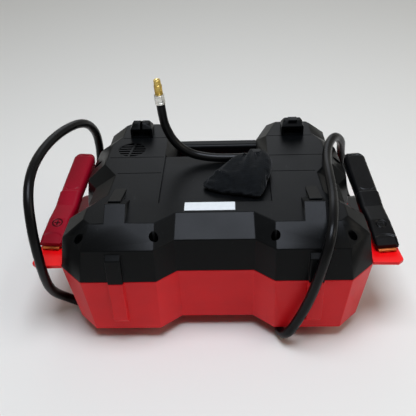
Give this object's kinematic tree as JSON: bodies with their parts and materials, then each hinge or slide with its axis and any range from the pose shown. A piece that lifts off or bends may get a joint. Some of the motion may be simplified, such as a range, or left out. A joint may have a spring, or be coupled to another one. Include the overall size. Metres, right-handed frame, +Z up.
{
  "type": "jump starter pack",
  "caption": "Portable jump starter pack with air compressor: two-part housing, carry handle, parked battery clamps, air hose and pouch.",
  "frame": {"origin": "centre of the footprint box of the pack and its clamps, on the surface that the pack lies on", "axes": "+X to the black clamp's side, +Y towards the carry handle, +Z up out of the rear face"},
  "size_m": [0.372, 0.2761, 0.2295],
  "materials": {
    "black_shell": "fine moulded texture",
    "red_shell": "satin moulded",
    "black_console": "satin",
    "zinc_steel": "bright zinc",
    "red_tab": "gloss",
    "white_label": "bare label stock",
    "circuit_board": "satin",
    "clear_lens": "clear",
    "display_grey": "satin",
    "bright_reflector": "bright",
    "battery_grey": "satin",
    "cast_aluminium": "as cast",
    "black_rubber": "matt",
    "cable_jacket": "satin",
    "hose_rubber": "satin",
    "brass": "turned",
    "pouch_fabric": "woven nylon",
    "button_grey": "matt",
    "button_red": "matt",
    "crimson_grip": "satin gloss",
    "black_grip": "satin gloss",
    "copper": "copper plated"
  },
  "bodies": {
    "housing": {"rear_shell": "black_shell", "front_shell": "red_shell", "front_console": "black_console", "carry_handle": "black_shell", "vent_grille": "black_shell", "housing_screws": "zinc_steel", "far_hook_right": "black_shell", "far_hook_left": "black_shell", "clamp_tab_right": "red_tab", "clamp_tab_left": "red_tab", "rear_sticker": "white_label", "tact_switches": "black_console", "control_board": "circuit_board", "display_lens": "clear_lens", "display_module": "display_grey", "work_light_lens": "clear_lens", "work_light_reflector": "bright_reflector", "outlet_socket": "black_console", "usb_port": "zinc_steel", "charge_jack": "black_console", "cover_hinge_pins": "zinc_steel", "battery": "battery_grey", "battery_tray": "zinc_steel", "compressor_motor": "zinc_steel", "compressor_pump": "cast_aluminium", "compressor_bracket": "black_console", "starter_relay": "black_console", "cable_gland_right": "black_rubber", "cable_gland_left": "black_rubber", "jumper_cable_left": "cable_jacket", "jumper_cable_right": "cable_jacket", "hose_gland": "black_rubber", "air_hose": "hose_rubber", "hose_ferrule": "zinc_steel", "chuck_body": "brass", "accessory_pouch": "pouch_fabric", "clamp_right_lower_arm": "black_grip", "clamp_right_lower_jaw": "copper", "clamp_right_pivot_rivet": "zinc_steel", "clamp_right_spring": "zinc_steel", "clamp_left_lower_arm": "crimson_grip", "clamp_left_lower_jaw": "copper", "clamp_left_pivot_rivet": "zinc_steel", "clamp_left_spring": "zinc_steel"},
    "right_clamp_arm": {"clamp_right_upper_arm": "black_grip", "clamp_right_upper_jaw": "copper"},
    "left_clamp_arm": {"clamp_left_upper_arm": "crimson_grip", "clamp_left_upper_jaw": "copper"},
    "power_button_body": {"power_button": "button_grey"},
    "jump_start_button_body": {"jump_start_button": "button_red"},
    "compressor_button_body": {"compressor_button": "button_grey"},
    "pressure_down_button_body": {"pressure_down_button": "button_grey"},
    "light_button_body": {"light_button": "button_grey"},
    "pressure_up_button_body": {"pressure_up_button": "button_grey"},
    "outlet_cover_body": {"outlet_cover": "black_rubber"},
    "usb_cover_body": {"usb_cover": "black_rubber"},
    "charge_cover_body": {"charge_cover": "black_rubber"},
    "chuck_collar_body": {"chuck_collar": "brass"}
  },
  "joints": [
    {"name": "right_clamp_squeeze", "type": "hinge", "parent": "housing", "child": "right_clamp_arm", "pos_m": [0.167, -0.038, 0.081], "axis": [-0.995, -0.1002, 0], "range_deg": [0, 26], "stiffness_Nm_per_rad": 1.5, "springref_deg": -22.92},
    {"name": "left_clamp_squeeze", "type": "hinge", "parent": "housing", "child": "left_clamp_arm", "pos_m": [-0.166, -0.028, 0.081], "axis": [-0.995, 0.1002, 0], "range_deg": [0, 26], "stiffness_Nm_per_rad": 1.5, "springref_deg": -22.92},
    {"name": "power_press", "type": "slide", "parent": "housing", "child": "power_button_body", "axis": [0, 0, 1], "range_m": [0, 0.0015], "stiffness_N_per_m": 600, "springref_m": -0.001},
    {"name": "jump_start_press", "type": "slide", "parent": "housing", "child": "jump_start_button_body", "axis": [0, 0, 1], "range_m": [0, 0.0015], "stiffness_N_per_m": 600, "springref_m": -0.001},
    {"name": "compressor_press", "type": "slide", "parent": "housing", "child": "compressor_button_body", "axis": [0, 0, 1], "range_m": [0, 0.0015], "stiffness_N_per_m": 600, "springref_m": -0.001},
    {"name": "pressure_down_press", "type": "slide", "parent": "housing", "child": "pressure_down_button_body", "axis": [0, 0, 1], "range_m": [0, 0.0015], "stiffness_N_per_m": 600, "springref_m": -0.001},
    {"name": "light_press", "type": "slide", "parent": "housing", "child": "light_button_body", "axis": [0, 0, 1], "range_m": [0, 0.0015], "stiffness_N_per_m": 600, "springref_m": -0.001},
    {"name": "pressure_up_press", "type": "slide", "parent": "housing", "child": "pressure_up_button_body", "axis": [0, 0, 1], "range_m": [0, 0.0015], "stiffness_N_per_m": 600, "springref_m": -0.001},
    {"name": "outlet_cover_flip", "type": "hinge", "parent": "housing", "child": "outlet_cover_body", "pos_m": [0.076, 0.058, 0.0046], "axis": [1, 0, 0], "range_deg": [0, 100]},
    {"name": "usb_cover_flip", "type": "hinge", "parent": "housing", "child": "usb_cover_body", "pos_m": [0.076, 0.0075, 0.0046], "axis": [1, 0, 0], "range_deg": [0, 100]},
    {"name": "charge_cover_flip", "type": "hinge", "parent": "housing", "child": "charge_cover_body", "pos_m": [-0.076, 0.0085, 0.0046], "axis": [1, 0, 0], "range_deg": [0, 100]},
    {"name": "chuck_collar_spin", "type": "hinge", "parent": "housing", "child": "chuck_collar_body", "pos_m": [-0.05759, 0.01638, 0.21866], "axis": [-0.0712, -0.0071, 0.9974], "continuous": true}
  ]
}
